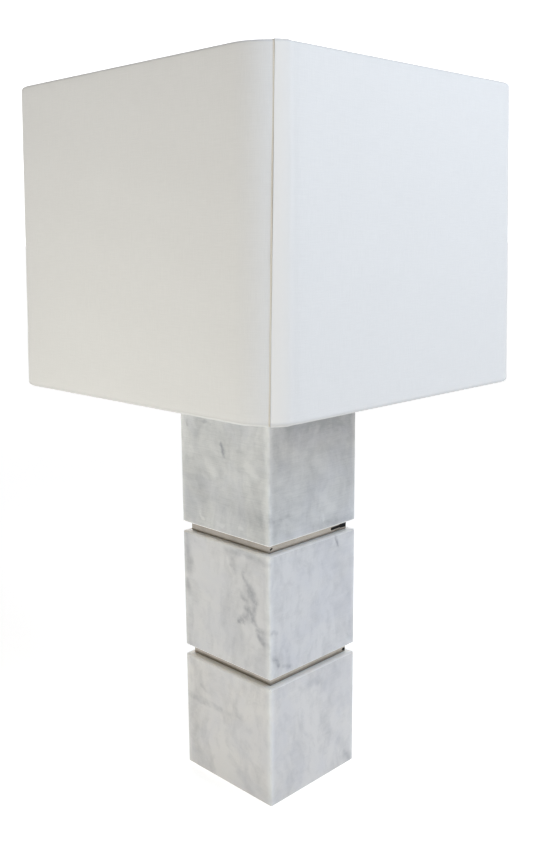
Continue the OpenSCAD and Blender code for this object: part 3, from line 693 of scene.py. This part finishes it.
def harp_loop():
    """The harp's bent wire, round and smooth, standing for the CAD wire."""
    half = harp_line()
    path = np.array(half + [(-x, y) for x, y in reversed(half)]) / 1000
    radius, sides = 0.002, 20
    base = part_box("harp_saddle")[0].z
    points = []
    for i, (x, z) in enumerate(path):
        step = path[min(i + 1, len(path) - 1)] - path[max(i - 1, 0)]
        step = step / np.linalg.norm(step)
        for k in range(sides):
            turn = 2 * math.pi * k / sides
            out = radius * math.cos(turn)
            points.append((x + out * step[1], radius * math.sin(turn), base + z - out * step[0]))
    faces = grid_faces(len(path), sides, round_columns=True) + end_caps(len(path), sides)
    return piece("harp_loop", points, faces, HARP_PAINT, "base", ("harp_wire",))


def revolved(name, rows, material, body, replaces, closed=True, sides=72):
    """A turned form. Each row is a height, and a radius or a function of the angle giving it."""
    points = []
    for z, radius in rows:
        for k in range(sides):
            turn = 2 * math.pi * k / sides
            r = radius(turn) if callable(radius) else radius
            points.append((r * math.cos(turn), r * math.sin(turn), z))
    faces = grid_faces(len(rows), sides, round_columns=True, round_rows=not closed)
    if closed:
        faces += end_caps(len(rows), sides)
    return piece(name, points, faces, material, body, replaces)


def thread(radius, depth, pitch, z, fade):
    """Radius round a rolled thread at one height, as a function of the angle."""
    phase = 2 * math.pi * z / pitch
    return lambda turn: radius - depth * fade * (0.5 - 0.5 * math.cos(phase - turn))


def run_out(k, steps, over):
    """Share of a thread's depth at a step, less over its first and last steps."""
    return min(1, k / over, (steps - k) / over)


def bulb_screw():
    """Rolled screw base of the bulb."""
    low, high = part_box("bulb_base")
    bottom, top = low.z, high.z
    radius, depth, steps = 0.0128, 0.0008, 64
    start, end = bottom + 0.001, top - 0.0034
    rows = [(bottom, 0.0112), (bottom + 0.0006, 0.0122)]
    for k in range(steps + 1):
        z = start + (end - start) * k / steps
        rows.append((z, thread(radius, depth, BULB_PITCH, z, run_out(k, steps, 8))))
    rows += [(top - 0.0028, 0.0130), (top - 0.0012, 0.0131), (top - 0.0004, 0.0139), (top, 0.0141)]
    return revolved("bulb_screw", rows, BULB_METAL, "bulb", ("bulb_base",))


def socket_screw():
    """Rolled screw shell inside the socket, with its open floor."""
    low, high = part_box("screw_shell")
    bottom, top = low.z, high.z
    radius, wall, steps = 0.01375, 0.0004, 56
    outer_depth, inner_depth = 0.0004, 0.00035
    start, end = bottom + 0.0016, top - 0.0012
    heights = [start + (end - start) * k / steps for k in range(steps + 1)]

    def threads(at_radius, depth):
        return [
            (z, thread(at_radius, depth, BULB_PITCH, z, run_out(k, steps, 6)))
            for k, z in enumerate(heights)
        ]

    rows = [(bottom, 0.008), (bottom, 0.0132), (bottom + 0.0006, 0.0137)]
    rows += threads(radius, outer_depth)
    rows += [(top - 0.0004, radius), (top, radius), (top, radius - wall)]
    rows += reversed(threads(radius - wall, inner_depth))
    rows += [(bottom + 0.0009, 0.0131), (bottom + 0.0005, 0.0128), (bottom + 0.0005, 0.008)]
    return revolved("socket_screw", rows, BULB_METAL, "base", ("screw_shell",),
                    closed=False)


def harp_top():
    """Brass crown on the wire with a threaded stud; the wire passes through it unseen."""
    low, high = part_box("harp_crown")
    shoulder = high.z - 0.015
    radius, edge, stud, depth, steps = 0.006, 0.0008, 0.003175, 0.00055, 150
    start, length = shoulder + 0.0003, 0.0138
    rows = [(low.z, radius - edge), (low.z + edge, radius)]
    rows += [(shoulder - edge, radius), (shoulder, radius - edge), (shoulder, 0.0032)]
    for k in range(steps + 1):
        z = start + length * k / steps
        rows.append((z, thread(stud, depth, FINE_PITCH, z, run_out(k, steps, 10))))
    rows += [(high.z - 0.0003, 0.0028), (high.z, 0.0022)]
    return revolved("harp_top", rows, BRASS_PAINT, "base", ("harp_crown",), sides=48)


def dress(material, *names):
    """Give CAD nodes a material."""
    for name in names:
        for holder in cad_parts[name].material_slots:
            holder.material = material


# Marks in the stone: start, end and radius in mm, and strength
MIDDLE_VEINS = [
    ((-63, -10, 245), (-63, -14, 242), 5.3, 0.39), ((-63, -26, 240), (-63, -28, 236), 4.1, 0.66),
    ((-63, -28, 236), (-63, -36, 226), 4.7, 0.44), ((-63, -35, 226), (-63, -44, 214), 7.7, 0.69),
    ((-63, -25, 217), (-63, -33, 213), 4.7, 0.50), ((-63, -44, 214), (-63, -42, 203), 5.9, 0.56),
    ((-63, -31, 206), (-63, -41, 197), 6.5, 0.69), ((-63, -33, 199), (-63, -24, 191), 5.3, 0.66),
    ((-63, -27, 190), (-63, -21, 189), 5.0, 0.82), ((-63, -40, 196), (-63, -48, 188), 4.1, 0.44),
    ((-63, -46, 187), (-62, -64, 187), 5.0, 0.66), ((-63, -47, 182), (-63, -54, 177), 5.3, 0.61),
    ((-63, -60, 176), (-63, -62, 172), 3.5, 0.44), ((-62, -63, 189), (-54, -63, 186), 3.5, 0.34),
    ((-63, -63, 166), (-58, -63, 158), 4.7, 0.56), ((-60, -63, 160), (-52, -63, 149), 5.0, 0.82),
    ((-43, -63, 148), (-36, -63, 144), 4.5, 0.56), ((34, -63, 264), (37, -63, 255), 4.2, 0.82),
    ((-63, 60, 262), (-63, 56, 228), 5.9, 0.25), ((-63, 59, 214), (-63, 56, 203), 4.7, 0.31),
    ((63, 44, 258), (63, 22, 226), 5, 0.6), ((63, 22, 226), (63, 26, 200), 5, 0.5),
    ((63, -50, 170), (63, -30, 146), 4, 0.4), ((-44, 63, 246), (-20, 63, 214), 6, 0.6),
    ((-20, 63, 214), (-24, 63, 188), 5, 0.5), ((-24, 63, 188), (4, 63, 164), 4, 0.45),
]
MIDDLE_CLOUDS = [
    ((-63, 60, 262), (-63, 54, 228), 11, 0.42), ((-63, 60, 213), (-63, 56, 200), 7, 0.40),
    ((-63, -4, 260), (-63, -62, 258), 6, 0.42), ((-63, -8, 256), (-63, -14, 248), 6, 0.3),
    ((-63, -36, 224), (-63, -34, 196), 14, 0.30), ((-63, -50, 186), (-63, -56, 176), 9, 0.25),
    ((-63, 58, 150), (-63, 55, 144), 8, 0.2), ((-56, -63, 160), (-48, -63, 148), 9, 0.2),
    ((30, -63, 246), (52, -63, 200), 18, 0.16), ((-52, -63, 262), (-10, -63, 240), 10, 0.12),
    ((63, 28, 215), (63, 10, 180), 14, 0.25), ((-24, 63, 200), (10, 63, 170), 15, 0.25),
]
MIDDLE_PALE = [
    ((-63, 35, 250), (-63, 5, 150), 24, 0.14), ((-36, -63, 261), (-41, -63, 238), 3.6, 0.28),
]
UPPER_VEINS = [
    ((-63, 0, 366), (-63, -1, 355), 3.8, 1.00), ((-63, 3, 377), (-63, 2, 374), 2.8, 0.41),
    ((-63, 29, 386), (-63, 20, 384), 3.1, 0.68), ((-63, 53, 383), (-63, 52, 378), 3.1, 0.54),
    ((-63, -6, 305), (-63, -9, 303), 2.8, 0.47), ((-63, -56, 301), (-63, -62, 299), 3.5, 0.41),
    ((63, -30, 390), (63, -12, 362), 4, 0.5), ((30, 63, 380), (12, 63, 350), 4, 0.45),
    ((12, 63, 350), (16, 63, 330), 3.5, 0.4),
]
UPPER_CLOUDS_AND_SHADOW = [
    ((-63, 0, 306), (-63, -48, 298), 17, 0.30), ((-63, -10, 320), (-63, -24, 310), 13, 0.16),
    # On the next line, the wide cloud along the top of the right face, 46 mm across, is painted
    # shadow from the shade
    ((-63, 54, 340), (-63, 30, 310), 17, 0.20), ((-24, -63, 402), (62, -63, 398), 46, 0.80),
    ((-63, -63, 301), (-38, -63, 300), 4, 0.40), ((0, -63, 281), (62, -63, 279), 7, 0.28),
    ((40, -63, 350), (56, -63, 320), 16, 0.16),
    ((63, 10, 330), (63, 40, 300), 18, 0.25), ((-30, 63, 390), (-10, 63, 340), 14, 0.22),
]
UPPER_PALE = [
    ((-63, 33, 292), (-63, 31, 285), 2.6, 0.55), ((-63, 10, 285), (-63, 0, 283), 2.4, 0.5),
    ((-63, -11, 284), (-63, -12, 282), 2.6, 0.5), ((-63, -22, 286), (-63, -29, 284), 3, 0.3),
    ((-63, -36, 348), (-63, -46, 341), 8, 0.20), ((-63, 17, 338), (-63, 2, 326), 9, 0.16),
    ((-63, -58, 322), (-63, -58, 300), 5, 0.20), ((-63, 58, 386), (-63, 50, 350), 7, 0.15),
    ((12, -63, 308), (18, -63, 302), 2.6, 0.55), ((13, -63, 291), (14, -63, 286), 3, 0.5),
    ((55, -63, 293), (59, -63, 286), 2.8, 0.55), ((3, -63, 314), (15, -63, 308), 8, 0.20),
    ((-52, -63, 338), (-36, -63, 328), 11, 0.16), ((2, -63, 350), (20, -63, 334), 9, 0.14),
    ((18, -63, 300), (32, -63, 294), 7, 0.16),
]
LOWER_VEINS = [
    ((-63, 40, 99), (-63, 34, 95), 4, 0.42), ((48, -63, 18), (56, -63, 8), 4, 0.22),
    ((63, -40, 110), (63, -8, 84), 5, 0.55), ((63, -8, 84), (63, 6, 58), 4, 0.5),
    ((20, 63, 118), (-14, 63, 92), 5, 0.55), ((-14, 63, 92), (-40, 63, 86), 4, 0.4),
]
LOWER_CLOUDS = [
    ((-63, 62, 83), (-63, 10, 82), 5, 0.42), ((-63, 12, 82), (-63, -18, 84), 5, 0.20),
    ((-63, 56, 66), (-63, 34, 10), 24, 0.28), ((-63, 52, 122), (-63, 44, 108), 9, 0.20),
    ((-63, 38, 101), (-63, 34, 95), 7, 0.22), ((-10, -63, 116), (12, -63, 113), 8, 0.30),
    ((13, -63, 72), (28, -63, 44), 13, 0.30), ((38, -63, 36), (46, -63, 26), 9, 0.24),
    ((48, -63, 18), (56, -63, 8), 8, 0.30),
    ((63, 30, 20), (63, 10, 70), 16, 0.25), ((-40, 63, 30), (-10, 63, 70), 14, 0.22),
]
LOWER_PALE = [
    ((-63, 8, 64), (-63, 4, 6), 9, 0.26), ((-63, -18, 126), (-63, -26, 94), 9, 0.18),
    ((-24, -63, 112), (-20, -63, 90), 6, 0.16), ((0, -63, 106), (18, -63, 94), 8, 0.16),
    ((-1, -63, 66), (13, -63, 4), 3.6, 0.30),
]

place_camera()

CLOTH_PAINT = cloth("shade_cloth", (0.803, 0.789, 0.762), 0.00034, 0.02,
                    doubled=(0.866, 0.840, 0.795))
GLUE_PAINT = cloth("glue_line", (0.76, 0.70, 0.60), 0.0005, 0.05)
LINER_PAINT = soft_board("liner_styrene", (0.84, 0.83, 0.80), 0.6)
FELT_PAINT = felt("felt")
HARP_PAINT = metal("harp_nickel", (0.70, 0.67, 0.62), 0.2, (1, 1, 0.1))
BULB_METAL = metal("bulb_aluminium", (0.80, 0.80, 0.80), 0.28, (1, 1, 8))
BRASS_PAINT = metal("brass", (0.74, 0.55, 0.27), 0.26, (1, 1, 12))

# Stone of each block: shift of its noise, white, added grey, depth of its saw lines, marks
STONES = {
    "lower_block": ("marble_low", (0.31, 0.72, 0.12), (0.682, 0.663, 0.640), -0.16, 0.7,
                    (LOWER_VEINS, LOWER_CLOUDS, LOWER_PALE)),
    "middle_block": ("marble_middle", (4.17, 1.3, 2.9), (0.655, 0.647, 0.640), -0.12, 0.8,
                     (MIDDLE_VEINS, MIDDLE_CLOUDS, MIDDLE_PALE)),
    "upper_block": ("marble_high", (7.7, 3.1, 5.2), (0.628, 0.628, 0.612), 0.06, 1.8,
                    (UPPER_VEINS, UPPER_CLOUDS_AND_SHADOW, UPPER_PALE)),
}
for block, stone in STONES.items():
    dress(marble(*stone), block)

# Dark spots on the metal between the blocks: start, end and radius in mm, and strength
LOWER_SPOTS = [((56, -57, 132), (53, -57, 132.5), 2.2, 1.0)]
UPPER_SPOTS = [
    ((57, -57, 270.6), (48, -57, 270.8), 3.6, 1.0), ((48, -57, 270.6), (34, -57, 270.2), 2.3, 1.0),
    ((47, -57, 268.2), (39, -57, 267.6), 2.0, 0.24),
    ((-55.4, -57, 269.6), (-53.4, -57, 270.2), 1.35, 1.0),
]
SPACER = (0.37, 0.335, 0.29)
dress(metal("lower_nickel", SPACER, 0.2, (1, 1, 14), 1100, LOWER_SPOTS), "lower_spacer")
dress(metal("upper_nickel", SPACER, 0.2, (1, 1, 14), 1100, UPPER_SPOTS), "upper_spacer")
dress(metal("neck_nickel", (0.68, 0.65, 0.60), 0.16, (1, 1, 10)), "check_ring", "neck", "finial")
dress(HARP_PAINT, "harp_saddle", "left_ferrule", "right_ferrule")
dress(threaded("pipe_zinc", (0.60, 0.58, 0.53), 0.35, FINE_PITCH, 0.0004), "lamp_pipe")
dress(metal("zinc_plate", (0.62, 0.60, 0.56), 0.32, (1, 1, 4)),
      "bottom_washer", "bottom_lockwasher", "bottom_nut", "saddle_locknut")
dress(BRASS_PAINT,
      "socket_cap", "socket_shell", "terminal_screws", "centre_contact", "switch_shaft")
dress(soft_board("liner_card", (0.50, 0.37, 0.23), 0.8, 0.18), "socket_liner")
dress(dark_gloss("switch_resin", (0.075, 0.032, 0.018), 0.3), "switch_body")
dress(dark_gloss("knob_black", (0.012, 0.012, 0.013), 0.24), "switch_knob")
dress(soft_board("bushing_black", (0.018, 0.018, 0.019), 0.55, 0.2), "cord_bushing")
dress(metal("solder", (0.58, 0.58, 0.58), 0.4), "bulb_contact")
dress(dark_gloss("black_glass", (0.012, 0.012, 0.016), 0.12), "bulb_insulator")
dress(opal_glass("frosted_glass"), "bulb_glass")
dress(soft_board("frame_lacquer", (0.74, 0.73, 0.70), 0.38, 0.04),
      "top_ring", "bottom_ring", "shade_hub", "left_arm", "right_arm", "front_arm", "back_arm")

cover = shade_cover()
line = seam_line()
shade_lining()
pad = felt_sheet()
harp_loop()
harp_top()
bulb_screw()
socket_screw()

# Light: an even sky, then its lobes (direction, power of the fall-off, colour)
SKY = (0.048, 0.042, 0.041)
LOBES = [
    ((0.7, 0.7, 0.12), 2, (1.52,) * 3),
    ((-0.7, -0.7, 0.08), 2, (0.29,) * 3),
    ((0, 0, 1), 8, (0.39,) * 3),
]
# Soft panels: name, place, aim, width, colour times watts
PANELS = [
    ("key", (0.22, -1.22, 1.33), (0, -0.1, 0.5), 0.7, (4.4, 5.8, 7.75)),
    ("high_key", (0.3, -1.0, 1.75), (0, -0.1, 0.45), 1.1, (6.4, 6.4, 6.4)),
    ("low_left", (-0.75, 0.05, 0.3), (-0.1, 0, 0.42), 0.35, (1.18, 1.17, 1.0)),
]
# Glow of the floor near the lamp and far from it, and the distances between which it changes
FLOOR_GLOW = 0.55, 0.63
GLOW_REACH = 1.1, 2.6


def stage():
    """Plain pale floor that runs out of sight; it glows a little, as a lit white sweep does."""
    paint = Paint("floor_paper", Base_Color=(0.9, 0.9, 0.9), Roughness=0.9, Specular_IOR_Level=0.1)
    here = paint.add("TexCoord", out="Object")
    away = paint.add("VectorMath", {0: here}, out=1, operation="LENGTH")
    glow = paint.ramp(away, *GLOW_REACH, *FLOOR_GLOW)
    paint.set(Emission_Color=(1, 1, 1), Emission_Strength=glow)
    mesh = bpy.data.meshes.new("floor")
    reach = 60.0
    corners = [(x * reach, y * reach, 0) for x, y in CORNER_SIGNS]
    mesh.from_pydata(corners, [], [(0, 1, 2, 3)])
    mesh.materials.append(paint.material)
    floor = bpy.data.objects.new("floor", mesh)
    scene.collection.objects.link(floor)


def soft_light(name, at, aim, size, power):
    """Square panel light that the camera doesn't see."""
    light = bpy.data.lights.new(name, "AREA")
    light.shape = "SQUARE"
    light.size = size
    light.energy = max(power)
    light.color = [c / max(power) for c in power]
    made = bpy.data.objects.new(name, light)
    made.location = at
    made.rotation_euler = (Vector(aim) - Vector(at)).to_track_quat("-Z", "Y").to_euler()
    made.visible_camera = False
    scene.collection.objects.link(made)


def studio():
    """World that is bright behind the lamp, and panels: cool on the right, weak on the left."""
    world = bpy.data.worlds.new("studio")
    world.use_nodes = True
    scene.world = world
    tree = world.node_tree
    towards = tree.nodes.new("ShaderNodeTexCoord").outputs["Generated"]

    def node(kind, operation, *inputs, out=0):
        made = tree.nodes.new("ShaderNode" + kind)
        made.operation = operation
        for socket, value in zip(made.inputs, inputs):
            if isinstance(value, bpy.types.NodeSocket):
                tree.links.new(value, socket)
            else:
                socket.default_value = value
        return made.outputs[out]

    total = node("VectorMath", "ADD", SKY, (0, 0, 0))
    for direction, power, color in LOBES:
        facing = node("VectorMath", "DOT_PRODUCT", towards, Vector(direction).normalized(), out=1)
        share = node("Math", "POWER", node("Math", "MAXIMUM", facing, 0.0), power)
        spread = tree.nodes.new("ShaderNodeCombineXYZ")
        for socket in spread.inputs:
            tree.links.new(share, socket)
        total = node("VectorMath", "MULTIPLY_ADD", spread.outputs[0], color, total)
    tree.links.new(total, tree.nodes["Background"].inputs["Color"])
    for name, at, aim, size, power in PANELS:
        soft_light(name, at, aim, size, power)
    scene.view_settings.view_transform = "Standard"
    scene.view_settings.look = "None"


stage()
studio()
